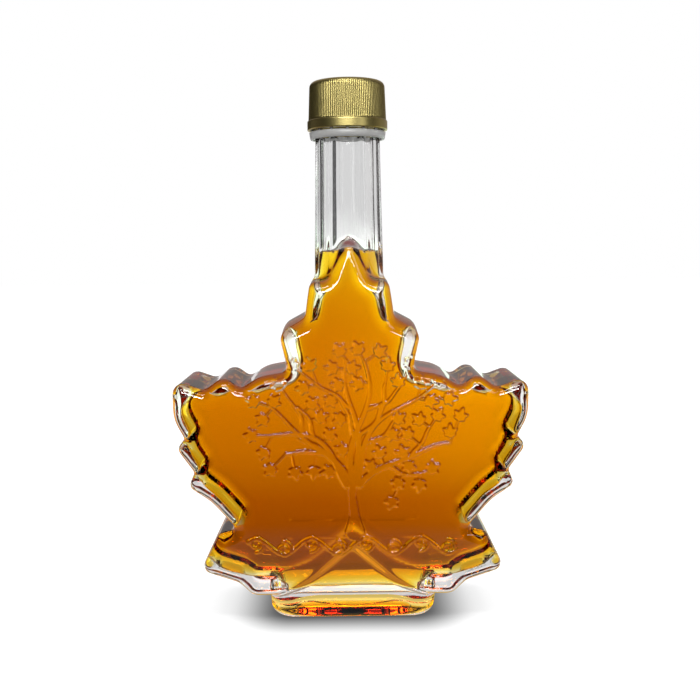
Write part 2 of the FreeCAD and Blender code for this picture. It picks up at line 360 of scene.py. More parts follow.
def push_up(x, y, z):
    """The hollow under the base, a gentle dome drawn out along the foot."""
    reach = FOOT_HALF_DEPTH - PUSH_UP_INSET
    past_end = np.maximum(np.abs(x) - (FOOT_HALF_WIDTH - FOOT_HALF_DEPTH), 0)
    off = np.hypot(past_end, y)
    far = np.hypot(off / reach, z / PUSH_UP_RISE)
    steep = np.hypot(off / reach**2, z / PUSH_UP_RISE**2)
    return far * (far - 1) / np.maximum(steep, 1e-6)


def outside(x, y, z, relief=None):
    """The bottle's outer form."""
    limit = half_depth(x, z)
    if relief is not None:
        limit = limit + np.where(y < 0, relief(x, z), 0)
    side = LEAF(x, z + shoulder_drop(y, z)) - LEAF_SWELL
    leaf = rounded_both(side, np.abs(y) - limit, EDGE_ROUND)
    body = joined(leaf, neck_outside(x, y, z), NECK_BLEND)
    body = joined(body, foot_outside(x, y, z), FOOT_BLEND)
    return shared(body, -push_up(x, y, z), PUSH_UP_BLEND)


def ripple(x, y, z):
    """The slow unevenness of a blown inner wall."""
    return (
        0.10 * np.sin(x / 5.3 + 0.6 * np.sin(z / 7.1))
        + 0.10 * np.sin(z / 6.1 + y / 9.0 + 1.3)
        + 0.06 * np.sin((x + z) / 3.9 + y / 6.0)
    )


def cavity(x, y, z):
    """The room inside, out through the lip."""
    upper = eased(z, UPPER_WALL_Z - UPPER_WALL_EASE, UPPER_WALL_Z + UPPER_WALL_EASE)
    wall = SIDE_WALL + (UPPER_WALL - SIDE_WALL) * upper
    side = MELTED_LEAF(x, z + shoulder_drop(y, z)) + wall
    plan = shared(side, LEAF_BOTTOM + LOBE_FLOOR - z, LOBE_FLOOR_EDGE)
    body = rounded_both(plan, np.abs(y) - (half_depth(x, z) - PANEL_WALL), CAVITY_EDGE)
    bore = np.maximum(np.hypot(x, y) - (COLLAR_RADIUS - NECK_WALL), NECK_ROOT - z)
    room = oblong(
        x, y, FOOT_HALF_WIDTH - FOOT_WALL, FOOT_HALF_DEPTH - FOOT_WALL, FOOT_ROOM_CORNER
    )
    foot = rounded_both(room, CAVITY_FLOOR - z, CAVITY_FLOOR_EDGE)
    foot = np.maximum(foot, z - FOOT_TOP)
    return joined(joined(body, bore, BORE_BLEND), foot, FOOT_ROOM_BLEND) + ripple(x, y, z)


def glass(x, y, z, relief=None):
    """The bottle's wall."""
    return np.maximum(outside(x, y, z, relief), -cavity(x, y, z))


def syrup(x, y, z):
    """The drink up to its level, which climbs a little where it meets the wall."""
    wall = cavity(x, y, z)
    level = z - SYRUP_LEVEL - MENISCUS * np.exp(np.minimum(wall, 0) / MENISCUS_REACH)
    return np.maximum(wall - SYRUP_LAP, level)


# ---- From form to mesh -------------------------------------------------------------------------------------
def quads_of(form, low, high, step):
    """Samples a form over a box and returns points and quads of its surface."""
    low = np.array(low) - 2 * step
    count = np.ceil((np.array(high) - low) / step).astype(int) + 3
    axes = [low[i] + step * np.arange(count[i]) for i in range(3)]
    x, y, z = np.meshgrid(*axes, indexing="ij", sparse=True)
    values = np.broadcast_to(form(x, y, z), count)
    grid = openvdb.FloatGrid(FAR)
    grid.copyFromArray(np.ascontiguousarray(values, np.float32))
    points, quads = grid.convertToQuads(0.0)
    return points * step + low, quads.astype(int)


def gradient(form, p, reach=0.03):
    """The form's slope at each point, by central differences."""
    slope = np.empty_like(p)
    for axis in range(3):
        side = np.zeros(3)
        side[axis] = reach
        ahead, behind = p + side, p - side
        slope[:, axis] = (form(*ahead.T) - form(*behind.T)) / (2 * reach)
    return slope


def settle(form, p, rounds=3):
    """Moves points onto the form's surface and returns them with their normals."""
    for _ in range(rounds):
        slope = gradient(form, p)
        size = np.maximum((slope**2).sum(axis=1), 0.25)
        shift = slope * (form(*p.T) / size)[:, None]
        far = np.maximum(np.linalg.norm(shift, axis=1) / 0.5, 1)
        p = p - shift / far[:, None]
    slope = gradient(form, p)
    return p, slope / np.maximum(np.linalg.norm(slope, axis=1), 1e-9)[:, None]


def make_object(name, points, faces, normals=None):
    """A smooth-shaded object from points in millimetres."""
    mesh = bpy.data.meshes.new(name)
    mesh.from_pydata((points * MM).tolist(), [], [list(f) for f in faces])
    mesh.update()
    mesh.shade_smooth()
    if normals is not None:
        mesh.normals_split_custom_set_from_vertices(normals.tolist())
    piece = bpy.data.objects.new(name, mesh)
    bpy.context.collection.objects.link(piece)
    return piece


def refined(points, quads, wanted, cuts):
    """Splits the quads around the wanted points, keeping the mesh closed."""
    for _ in range(cuts):
        mesh = bpy.data.meshes.new("refined")
        mesh.from_pydata(points.tolist(), [], [list(q) for q in quads])
        work = bmesh.new()
        work.from_mesh(mesh)
        work.verts.ensure_lookup_table()
        mask = wanted(points)
        edges = {
            edge
            for face in work.faces
            if all(mask[v.index] for v in face.verts)
            for edge in face.edges
        }
        bmesh.ops.subdivide_edges(work, edges=list(edges), cuts=1, use_grid_fill=True)
        work.verts.index_update()
        points = np.array([v.co[:] for v in work.verts], float)
        quads = [[v.index for v in face.verts] for face in work.faces]
        work.free()
        bpy.data.meshes.remove(mesh)
    return points, quads


# ---- Relief on the front panel -----------------------------------------------------------------------------
class Relief:
    """A height map over the front panel, made of flat forms with steep edges."""

    def __init__(self, low, high):
        self.xs = np.arange(low[0], high[0], RELIEF_STEP)
        self.zs = np.arange(low[1], high[1], RELIEF_STEP)
        self.away = np.full((len(self.xs), len(self.zs)), 5.0)

    def window(self, low, high):
        """The part of the grid between two corners."""
        i0, i1 = np.searchsorted(self.xs, (low[0], high[0]))
        j0, j1 = np.searchsorted(self.zs, (low[1], high[1]))
        return slice(i0, i1), slice(j0, j1)

    def band(self, path, widths):
        """Raises a band along a path. widths are its half width at each point."""
        path = np.asarray(path, float)
        widths = np.broadcast_to(widths, len(path))
        for a, b, wa, wb in zip(path, path[1:], widths, widths[1:]):
            reach = max(wa, wb) + 1.0
            part = self.window(np.minimum(a, b) - reach, np.maximum(a, b) + reach)
            gx, gz = np.meshgrid(self.xs[part[0]], self.zs[part[1]], indexing="ij")
            d = b - a
            share = ((gx - a[0]) * d[0] + (gz - a[1]) * d[1]) / max(d @ d, 1e-9)
            share = np.clip(share, 0, 1)
            away = np.hypot(gx - a[0] - share * d[0], gz - a[1] - share * d[1])
            away -= wa + share * (wb - wa)
            self.away[part] = np.minimum(self.away[part], away)

    def shape(self, path):
        """Raises the inside of a closed path."""
        part = self.window(path.min(axis=0) - 1, path.max(axis=0) + 1)
        away = polygon_distance(path, self.xs[part[0]], self.zs[part[1]])
        self.away[part] = np.minimum(self.away[part], away)

    def field(self, height, edge):
        """The relief's height, as a field."""
        heights = height * eased(-self.away, -edge / 2, edge / 2)
        return Field(self.xs, self.zs, blurred(heights, 0.7))

    def edges(self, edge):
        """A field that is above 0.5 near the edges of the raised forms."""
        near = (np.abs(self.away) < edge).astype(float)
        return Field(self.xs, self.zs, near)


def small_leaf(centre, angle, size):
    """Outline of a plain leaf with three points, its tip along the angle."""
    t = np.linspace(-math.pi, math.pi, 49)[:-1]
    reach = 0.52 + 0.48 * np.exp(-((t / 0.34) ** 2))
    for at, tall in ((1.1, 0.36), (2.05, 0.16)):
        reach += tall * np.exp(-(((np.abs(t) - at) / 0.3) ** 2))
    x, z = size * reach * np.cos(t), size * reach * np.sin(t)
    c, s = math.cos(angle), math.sin(angle)
    return np.stack([centre[0] + x * c - z * s, centre[1] + x * s + z * c], axis=1)


def limb(start, angle, bend, length, count=30, phase=0.0):
    """A branch that starts at an angle from upright, bends over and winds a little as it goes."""
    t = np.linspace(0, 1, count)
    way = angle + bend * t * t + 0.3 * (np.sin(6 * t + phase) - math.sin(phase))
    steps = np.stack([np.sin(way), np.cos(way)], axis=1) * length / count
    return np.array(start) + np.cumsum(steps, axis=0)


TREE_FOOT = (1.0, 32.5)
TREE_FORK = (0.5, 51.0)
LIMBS = 6
LIMB_WIDTH = 1.25  # half widths, at the start of limbs and branches and at their tips
BRANCH_WIDTH = 0.75
TIP_WIDTH = 0.45
TREETOP_MIDDLE = (1.0, 68.0)  # the leaves fill an oval
TREETOP_HALF = (37.0, 28.0)
TWIG_LEAF_SIZE = 3.3
TWIG_LEAF_SPACE = 6.7
TWIG_LEAF_SHIFT = 0.9


def draw_wood(relief):
    """A trunk, limbs fanned out from its fork, and two branches on each limb. Returns the limbs' paths."""
    trunk = [TREE_FOOT, (0.9, 38.0), (0.2, 45.0), TREE_FORK]
    relief.band(trunk, (3.4, 1.7, 1.3, 1.7))
    limbs = []
    for number, share in enumerate(np.linspace(-1, 1, LIMBS)):
        way = 1 if share > 0 else -1
        length = 44 - 8 * abs(share)
        start = (TREE_FORK[0] + 1.6 * share, TREE_FORK[1] - 3.0 * abs(share))
        main = limb(start, 0.62 * share, share, length, phase=2.4 * number)
        limbs.append((main, LIMB_WIDTH))
        for at, turn in ((10, way * 0.75), (17, -way * 0.7)):
            heading = main[at] - main[at - 1]
            angle = math.atan2(heading[0], heading[1]) + turn
            branch = limb(main[at], angle, -0.4 * turn, 0.34 * length, 14)
            limbs.append((branch, BRANCH_WIDTH))
    for path, width in limbs:
        relief.band(path, np.linspace(width, TIP_WIDTH, len(path)))
    return np.concatenate([path for path, _ in limbs])


def draw_leaves(relief, wood):
    """Leaves in shifted rows, each on a twig to the nearest wood."""
    rng = np.random.default_rng(SEED)
    for row in range(10):
        for column in range(-7, 8):
            x = (column + 0.5 * (row % 2)) * TWIG_LEAF_SPACE
            x += rng.uniform(-TWIG_LEAF_SHIFT, TWIG_LEAF_SHIFT)
            z = 43.0 + row * TWIG_LEAF_SPACE * 0.87
            z += rng.uniform(-TWIG_LEAF_SHIFT, TWIG_LEAF_SHIFT)
            off_x = (x - TREETOP_MIDDLE[0]) / TREETOP_HALF[0]
            off_z = (z - TREETOP_MIDDLE[1]) / TREETOP_HALF[1]
            by_trunk = abs(x) < 12 and z < 52
            gaps = np.hypot(wood[:, 0] - x, wood[:, 1] - z)
            if off_x**2 + off_z**2 > 1 or by_trunk or not 1.5 <= gaps.min() <= 11:
                continue
            nearest = wood[gaps.argmin()]
            angle = math.atan2(z - nearest[1], x - nearest[0])
            relief.band([nearest, (x, z)], 0.3)
            relief.shape(small_leaf((x, z), angle, TWIG_LEAF_SIZE))


SCROLL_HEIGHT = 27.3
SCROLL_SWING = 2.7
SCROLL_WAVE = 19.0
SCROLL_HALF_LENGTH = 36.0
CURL_RADIUS = 2.9


def draw_scroll(relief):
    """A vine scroll under the tree, with a curl in each of its waves."""
    x = np.linspace(-SCROLL_HALF_LENGTH, SCROLL_HALF_LENGTH, 150)
    z = SCROLL_HEIGHT + SCROLL_SWING * np.sin(2 * math.pi * x / SCROLL_WAVE)
    relief.band(np.stack([x, z], axis=1), 0.65)
    turn = np.linspace(0, 2.5 * math.pi, 40)
    radius = CURL_RADIUS * (1 - 0.72 * turn / turn[-1])
    crests = np.arange(-1.75 * SCROLL_WAVE, SCROLL_HALF_LENGTH - 2, SCROLL_WAVE / 2)
    for number, crest in enumerate(crests):
        up = 1 if number % 2 else -1
        across = crest + radius * np.sin(turn)
        high = SCROLL_HEIGHT - up + up * radius * np.cos(turn)
        relief.band(np.stack([across, high], axis=1), np.linspace(0.55, 0.4, 40))


def panel_relief():
    """The relief's height, and a field that is above 0.5 near its edges."""
    relief = Relief((-44, 18), (44, 104))
    draw_leaves(relief, draw_wood(relief))
    draw_scroll(relief)
    return relief.field(RELIEF_HEIGHT, RELIEF_EDGE), relief.edges(0.45)


# ---- Cap and ring ------------------------------------------------------------------------------------------
BLOCK_SIDES = [(0, 2, 3, 1), (4, 5, 7, 6), (0, 1, 5, 4), (2, 6, 7, 3), (0, 4, 6, 2), (1, 3, 7, 5)]


def turned_mesh(name, profile, around, shift=None, extra=()):
    """A closed surface of revolution. The profile is a closed line of (radius, height) points.

    shift(angle, index) adds to a ring's radius. extra holds the eight corners of each block added to it.
    """
    angles = np.arange(around) * 2 * math.pi / around
    points, faces = [], []
    for i, (radius, height) in enumerate(profile):
        r = radius + (shift(angles, i) if shift else 0 * angles)
        ring = np.stack([r * np.cos(angles), r * np.sin(angles), 0 * r + height], axis=1)
        points.append(ring)
    count = len(profile)
    for i in range(count):
        j = (i + 1) % count
        for k in range(around):
            m = (k + 1) % around
            faces.append((i * around + k, i * around + m, j * around + m, j * around + k))
    for block in extra:
        first = sum(len(ring) for ring in points)
        points.append(block)
        faces += [[first + v for v in side] for side in BLOCK_SIDES]
    return make_object(name, np.concatenate(points), faces)


# ---- Materials ---------------------------------------------------------------------------------------------
GLASS_IOR = 1.51
SYRUP_IOR = 1.47
PLASTIC_IOR = 1.49
WHITE = (1.0, 1.0, 1.0, 1.0)
# painted amber light, the tint of the glass in the hollow under the foot
PAINTED_AMBER_LIGHT = (0.97, 0.72, 0.18, 1.0)
SYRUP_COLOUR = (0.960, 0.820, 0.0, 1.0)
SYRUP_DENSITY = 250.0
GOLD = [(0.0, (0.37, 0.305, 0.105, 1.0)), (1.0, (0.43, 0.36, 0.14, 1.0))]
# painted shade for the cap's grooves and its ledge
PAINTED_SHADE_GOLD = (0.17, 0.14, 0.05, 1.0)
MILKY = (0.95, 0.95, 0.94, 1.0)


class Graph:
    """Adds nodes to one node tree. A node's inputs are values or other nodes' outputs."""

    def __init__(self, tree):
        self.nodes = tree.nodes
        self.links = tree.links

    def fill(self, node, values):
        """Sets or links a node's inputs, given by name or number."""
        for key, value in values.items():
            if isinstance(value, bpy.types.NodeSocket):
                self.links.new(value, node.inputs[key])
            else:
                node.inputs[key].default_value = value

    def add(self, kind, values=None, **settings):
        """A new node of a kind, with its inputs' values and its other settings."""
        node = self.nodes.new("ShaderNode" + kind)
        for name, setting in settings.items():
            setattr(node, name, setting)
        self.fill(node, values or {})
        return node

    def math(self, operation, *values):
        """The result of an operation on numbers."""
        node = self.add("Math", dict(enumerate(values)), operation=operation)
        return node.outputs["Value"]

    def coordinates(self, kind):
        """The x, y and z of a texture coordinate."""
        where = self.add("TexCoord").outputs[kind]
        return self.add("SeparateXYZ", {"Vector": where}).outputs

    def eased(self, value, low, high, at_low=0.0, at_high=1.0):
        """A smooth step between two levels."""
        ends = {"From Min": low, "From Max": high, "To Min": at_low, "To Max": at_high}
        node = self.add("MapRange", {"Value": value, **ends}, interpolation_type="SMOOTHSTEP")
        return node.outputs["Result"]

    def ramp(self, value, stops):
        """A colour that runs through stops of (position, colour)."""
        node = self.add("ValToRGB", {"Fac": value})
        elements = node.color_ramp.elements
        elements[0].position, elements[0].color = stops[0]
        elements[1].position, elements[1].color = stops[-1]
        for position, colour in stops[1:-1]:
            elements.new(position).color = colour
        return node.outputs["Color"]

    def mix(self, share, first, second):
        """A number between two others."""
        return self.add("Mix", {0: share, 2: first, 3: second}).outputs[0]

    def mix_colours(self, share, first, second, blend="MIX"):
        """A colour between two others, or blended from them."""
        values = {0: share, 6: first, 7: second}
        return self.add("Mix", values, data_type="RGBA", blend_type=blend).outputs[2]

    def mix_shaders(self, share, first, second):
        """A shader between two others."""
        values = {0: share, 1: first.outputs[0], 2: second.outputs[0]}
        return self.add("MixShader", values)

    def bump(self, shader, scale, strength, distance):
        """Fine unevenness of a surface. Returns the noise behind it."""
        where = self.add("TexCoord").outputs["Object"]
        noise = self.add("TexNoise", {"Vector": where, "Scale": scale}).outputs["Fac"]
        values = {"Height": noise, "Strength": strength, "Distance": distance}
        self.fill(shader, {"Normal": self.add("Bump", values).outputs["Normal"]})
        return noise

    def show(self, shader, output="Surface"):
        """Makes a shader the material's own."""
        self.fill(self.nodes["Material Output"], {output: shader.outputs[0]})


def new_material(name):
    """A material, its graph, and its Principled shader."""
    material = bpy.data.materials.new(name)
    material.use_nodes = True
    graph = Graph(material.node_tree)
    return material, graph, graph.nodes["Principled BSDF"]


def clear_inputs(ior):
    """A Principled shader's inputs for a clear, smooth solid or liquid."""
    return {"Base Color": WHITE, "Roughness": 0.0, "IOR": ior, "Transmission Weight": 1.0}


def glass_material():
    """Clear glass where air is on both of its sides."""
    material, graph, shader = new_material("clear_glass")
    graph.fill(shader, clear_inputs(GLASS_IOR))
    graph.bump(shader, scale=90.0, strength=0.15, distance=0.12 * MM)
    return material


def painted_amber_base_material():
    """The hollow under the foot, its glass tinted amber: painted light standing in for the syrup's light over
    it.
    """
    material, graph, shader = new_material("painted_amber_glass")
    graph.nodes.remove(shader)
    values = {"Color": PAINTED_AMBER_LIGHT, "Roughness": 0.0, "IOR": GLASS_IOR}
    amber = graph.add("BsdfGlass", values)
    graph.bump(amber, scale=60.0, strength=0.25, distance=0.3 * MM)
    graph.show(amber)
    return material


def wetted_material():
    """The wall where syrup lies on it: light bends there, and mirrors only where none gets through."""
    material, graph, shader = new_material("wetted_glass")
    graph.nodes.remove(shader)
    bend = graph.add("BsdfRefraction", {"Roughness": 0.0, "IOR": GLASS_IOR})
    mirror = graph.add("BsdfAnisotropic", {"Color": WHITE, "Roughness": 0.0})
    fresnel = graph.add("Fresnel", {"IOR": GLASS_IOR}).outputs["Fac"]
    total = graph.math("GREATER_THAN", fresnel, 0.9999)
    graph.show(graph.mix_shaders(total, bend, mirror))
    return material


def syrup_material():
    """Amber right through. It mirrors at its open surface and only bends light at the wall."""
    material, graph, shader = new_material("amber_syrup")
    graph.fill(shader, clear_inputs(SYRUP_IOR))
    bend = graph.add("BsdfRefraction", {"Roughness": 0.0, "IOR": SYRUP_IOR})
    height = graph.coordinates("Object")["Z"]
    open_top = graph.math("GREATER_THAN", height, (SYRUP_LEVEL - 0.5) * MM)
    graph.show(graph.mix_shaders(open_top, bend, shader))
    values = {"Color": SYRUP_COLOUR, "Density": SYRUP_DENSITY}
    graph.show(graph.add("VolumeAbsorption", values), "Volume")
    return material


def cap_material(ledge, ribs_top):
    """Gold lacquer, with painted shade on the ledge under the ribs and in the grooves between them."""
    material, graph, shader = new_material("gold_lacquer")
    noise = graph.bump(shader, scale=150.0, strength=0.12, distance=0.1 * MM)
    x, y, z = graph.coordinates("Object")
    # painted shade: the grooves between the ribs and the ledge under them are darker in the colour
    across_ribs = graph.math("MULTIPLY", graph.math("ARCTAN2", y, x), RIBS)
    painted_groove_shade = graph.math("LESS_THAN", graph.math("COSINE", across_ribs), -0.05)
    above = graph.math("GREATER_THAN", z, ledge * MM)
    below = graph.math("LESS_THAN", z, ribs_top * MM)
    painted_groove_shade = graph.math("MULTIPLY", graph.math("MULTIPLY", above, below), painted_groove_shade)
    painted_ledge_shade = graph.math("COMPARE", z, (ledge + 0.1) * MM, 0.45 * MM)
    dark = graph.math("MAXIMUM", painted_groove_shade, graph.math("MULTIPLY", painted_ledge_shade, 0.35))
    colour = graph.mix_colours(dark, graph.ramp(noise, GOLD), PAINTED_SHADE_GOLD)
    graph.fill(shader, {"Base Color": colour, "Metallic": 1.0, "Roughness": 0.36})
    return material


def ring_material():
    """Clear plastic, a little milky."""
    material, graph, shader = new_material("milky_plastic")
    values = {"Base Color": MILKY, "Roughness": 0.35, "IOR": PLASTIC_IOR}
    graph.fill(shader, {**values, "Transmission Weight": 0.55})
    graph.bump(shader, scale=300.0, strength=0.2, distance=0.1 * MM)
    return material


# ---- Pieces ------------------------------------------------------------------------------------------------
FINE_HALF_WIDTH = 42.0  # the part of the front panel that gets a finer mesh for the relief
FINE_HALF_HEIGHT = 40.0
FINE_Z = 60.0


def build_glass():
    """The bottle, with the relief on its front and a material for each kind of wall."""
    relief, near_edge = panel_relief()

    def form(x, y, z):
        return glass(x, y, z, relief)

    def on_front(p):
        x, y, z = p.T
        panel = (y < -HALF_DEPTH + 2.0) & (LEAF(x, z) < -3.0)
        return panel & (np.abs(x) < FINE_HALF_WIDTH) & (np.abs(z - FINE_Z) < FINE_HALF_HEIGHT)

    def on_relief(p):
        return on_front(p) & (near_edge(p[:, 0], p[:, 2]) > 0.01)

    def on_neck(p):
        return (p[:, 2] > LEAF_TOP - 20) & (neck_outside(*p.T) > -0.6)

    points, faces = quads_of(glass, GLASS_LOW, GLASS_HIGH, GLASS_STEP)
    points, _ = settle(glass, points)
    points, faces = refined(points, faces, on_front, 1)
    points, faces = refined(points, faces, on_relief, 2)
    points, faces = refined(points, faces, on_neck, 1)
    points, normals = settle(form, points, 4)
    piece = make_object("bottle_glass", points, faces, normals)
    piece.data.materials.append(glass_material())
    piece.data.materials.append(wetted_material())
    piece.data.materials.append(painted_amber_base_material())
    height = points[:, 2]
    wet = (cavity(*points.T) < 0.4) & (height < SYRUP_LEVEL + 0.5)
    under = (push_up(*points.T) < 0.3) & (height > 0.4)
    kind = wet + 2 * under
    piece.data.polygons.foreach_set(
        "material_index", [int(min(kind[v] for v in face)) for face in faces]
    )
    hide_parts("glass_bottle")
    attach(piece, "root")


def build_syrup():
    """The drink. It reaches just into the wall, so that no air gap shows."""
    points, quads = quads_of(syrup, SYRUP_LOW, SYRUP_HIGH, SYRUP_STEP)
    points, normals = settle(syrup, points)
    piece = make_object("syrup_fill", points, quads, normals)
    piece.data.materials.append(syrup_material())
    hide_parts("syrup")
    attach(piece, "root")


CAP_CLEARANCE = 0.3  # between the collar and what turns round it
CAP_BAND = 3.3  # height of the smooth band
CAP_EDGE = 2.0
RIB_FOOT_INSET = 0.42  # how far the ribs' tips stand in from the band, at their feet and tops
RIB_TOP_INSET = 0.87
RIB_DEPTH = 0.15
RIBS = 120
PER_RIB = 10
PIN_HOLE = 0.4  # radius of the small hole in the top's middle, where the profile begins and ends


def build_cap():
    """The screw cap: a smooth band, a ledge, ribs that lean in, and a rounded top."""
    foot, top = CAP_LOW[2], CAP_HIGH[2]
    band = CAP_HIGH[0]
    wall_low, wall_high = band - RIB_FOOT_INSET, band - RIB_TOP_INSET
    inner = COLLAR_RADIUS + CAP_CLEARANCE
    ledge = foot + CAP_BAND
    ribs_foot, ribs_top = ledge + 0.4, top - CAP_EDGE
    profile = [
        (inner, foot),
        (band - 0.25, foot),
        (band - 0.07, foot + 0.07),
        (band, foot + 0.25),
        (band, foot + 0.4),
        (band, ledge - 0.55),
        (band, ledge - 0.35),
        (band - 0.12, ledge - 0.05),
        (wall_low, ledge + 0.1),
        (wall_low, ledge + 0.2),
    ]
    first_rib = len(profile)
    for t in (0, 0.03, 0.2, 0.4, 0.6, 0.8, 0.97, 1):
        radius = wall_low + t * (wall_high - wall_low)
        profile.append((radius, ribs_foot + t * (ribs_top - ribs_foot)))
    last_rib = len(profile) - 1
    for angle in np.linspace(0.12, 1, 9) * math.pi / 2:
        radius = wall_high - CAP_EDGE * (1 - math.cos(angle))
        profile.append((radius, ribs_top + CAP_EDGE * math.sin(angle)))
    profile += [(9.0, top), (4.0, top - 0.05), (PIN_HOLE, top - 0.05)]
    profile += [(PIN_HOLE, LIP_TOP), (inner - 0.6, LIP_TOP), (inner, LIP_TOP - 0.6)]

    def grooves(angle, index):
        """The grooves between the ribs, which fade out over the cap's edge."""
        if not first_rib <= index <= last_rib + 3:
            return 0 * angle
        depth = RIB_DEPTH * (1 - 0.3 * max(0, index - last_rib))
        return -depth * (0.5 - 0.5 * np.cos(angle * RIBS)) ** 1.6

    piece = turned_mesh("screw_cap", profile, RIBS * PER_RIB, grooves)
    piece.data.materials.append(cap_material(ledge, ribs_top + 1.2))
    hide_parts("cap")
    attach(piece, "root")


BRIDGES = 14
BRIDGE_HEIGHT = 0.6
BRIDGE_HALF_WIDTH = 0.45
RING_TAPER = 0.35


def build_ring():
    """The tamper ring, with the bridges that hold it to the cap."""
    foot, top = RING_LOW[2], RING_HIGH[2] - BRIDGE_HEIGHT
    inner = COLLAR_RADIUS + CAP_CLEARANCE
    high = RING_HIGH[0]
    low = high - RING_TAPER
    profile = [
        (inner, foot + 0.15),
        (inner + 0.2, foot),
        (low - 0.2, foot),
        (low, foot + 0.25),
        (high, top - 0.2),
        (high - 0.25, top),
        (inner + 0.15, top),
        (inner, top - 0.15),
    ]
    bridges = []
    for number in range(BRIDGES):
        angle = (number + 0.5) * 2 * math.pi / BRIDGES
        out = np.array([math.cos(angle), math.sin(angle), 0])
        across = np.array([-out[1], out[0], 0])
        corners = [
            out * radius + across * width + np.array([0, 0, z])
            for radius in (inner + 0.15, inner + 0.85)
            for width in (-BRIDGE_HALF_WIDTH, BRIDGE_HALF_WIDTH)
            for z in (top - 0.2, RING_HIGH[2] - 0.02)
        ]
        bridges.append(np.array(corners))
    piece = turned_mesh("tamper_band", profile, 256, extra=bridges)
    piece.data.materials.append(ring_material())
    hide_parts("tamper_ring")
    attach(piece, "root")


# ---- Stage -------------------------------------------------------------------------------------------------
FLOOR_HALF_SIZE = 3.0  # metres
FLOOR_SHADE = 0.35  # the floor's own colour, which takes the lamps' shadows
FLOOR_LIFT = 0.75  # light of its own that the floor shows the camera
PAINTED_SHADOW_SHADE = 0.12  # how dark the painted shadow makes the floor close to the foot
PAINTED_SHADOW_START = -5.0  # distances past the foot's outline from which and to which that painted shadow clears
PAINTED_SHADOW_REACH = 17.0
# What glass shows of the floor: distance in front of or behind the bottle's middle, brightness, and how
# green it is, from amber to white.
PAINTED_AMBER_UNDER_FOOT = (0.60, 0.33, 0.04, 1.0)  # painted amber light under the foot, where light through the syrup would fall
# painted shade and painted amber light: the floor is darker and more amber near the bottle
FLOOR_LEVELS = [
    (20.5, 0.90, 0.95),
    (35.5, 0.88, 0.94),
    (38.5, 0.30, 0.70),
    (45.0, 0.27, 0.70),
    (80.0, 0.38, 0.70),
    (118.0, 0.50, 0.70),
    (154.0, 0.56, 0.72),
    (197.0, 0.66, 0.86),
    (275.0, 0.80, 0.94),
    (477.0, 0.95, 1.00),
]
FLOOR_WHITE_FROM = 900.0
PAINTED_RIGHT_LIGHT = (1.3, 1.55, 1.3, 1.0)  # painted light: how much brighter that is to the right
RIGHT_FROM, RIGHT_TO = -30.0, 90.0
FRONT_DARK, FRONT_GREY = -140.0, -98.0  # painted shade: the floor in front of the bottle is dark where the bottle mirrors it
FRONT_LEVEL = 0.3


def make_floor():
    """A wide sheet under the bottle."""
    mesh = bpy.data.meshes.new("floor")
    far = FLOOR_HALF_SIZE
    corners = [(-far, -far, 0), (far, -far, 0), (far, far, 0), (-far, far, 0)]
    mesh.from_pydata(corners, [], [(0, 1, 2, 3)])
    floor = bpy.data.objects.new("floor", mesh)
    bpy.context.collection.objects.link(floor)
    mesh.materials.append(floor_material())


def floor_material():
    """White for the camera, with a painted shadow round the foot. Glass sees it with painted shade and light.
    """
    material, graph, shader = new_material("floor_white")
    x, y, _ = graph.coordinates("Object")

    def past_squared(axis, half_size):
        """The square of how far a place is past the straight part of the foot's outline."""
        straight = (half_size - FOOT_CORNER) * MM
        past = graph.math("SUBTRACT", graph.math("ABSOLUTE", axis), straight)
        return graph.math("POWER", graph.math("MAXIMUM", past, 0.0), 2.0)

    squares = graph.math(
        "ADD", past_squared(x, FOOT_HALF_WIDTH), past_squared(y, FOOT_HALF_DEPTH)
    )
    off_foot = graph.math("SUBTRACT", graph.math("SQRT", squares), FOOT_CORNER * MM)
    # painted shadow: the floor's colour and its own light darken close round the foot
    painted_shadow = graph.eased(off_foot, PAINTED_SHADOW_START * MM, PAINTED_SHADOW_REACH * MM, PAINTED_SHADOW_SHADE)

    # painted shade and painted amber light near the bottle, as glass sees the floor
    stops = [(FOOT_HALF_DEPTH * MM, PAINTED_AMBER_UNDER_FOOT)]
    for place, level, green in FLOOR_LEVELS:
        blue = 1.6 * green - 0.6
        stops.append((place * MM, (level, level * green, level * blue, 1)))
    stops.append((FLOOR_WHITE_FROM * MM, WHITE))
    around = graph.ramp(graph.math("ABSOLUTE", y), stops)
    # painted light: the floor as glass sees it grows brighter to the right
    right = graph.eased(x, RIGHT_FROM * MM, RIGHT_TO * MM)
    painted_glow = graph.mix_colours(right, WHITE, PAINTED_RIGHT_LIGHT)
    around = graph.mix_colours(1.0, around, painted_glow, "MULTIPLY")
    # painted shade: what glass mirrors of the floor in front is dark grey, black further off
    ahead = graph.eased(y, FRONT_DARK * MM, FRONT_GREY * MM, 0.0, FRONT_LEVEL)
    rays = graph.add("LightPath").outputs
    in_front = graph.math("LESS_THAN", y, -FOOT_HALF_DEPTH * MM)
    front_mirrored = graph.math("GREATER_THAN", in_front, rays["Is Transmission Ray"])
    in_glass = graph.mix_colours(front_mirrored, around, ahead)

    lift = graph.math("MULTIPLY", rays["Is Camera Ray"], painted_shadow)
    values = {
        "Base Color": graph.math("MULTIPLY", painted_shadow, FLOOR_SHADE),
        "Roughness": 0.9,
        "Specular IOR Level": 0.0,
        "Emission Color": WHITE,
        "Emission Strength": graph.math("MULTIPLY", lift, FLOOR_LIFT),
    }
    graph.fill(shader, values)
    through = graph.math("MAXIMUM", rays["Is Transmission Ray"], rays["Is Glossy Ray"])
    shown = graph.add("Emission", {"Color": in_glass})
    graph.show(graph.mix_shaders(through, shader, shown))
    return material


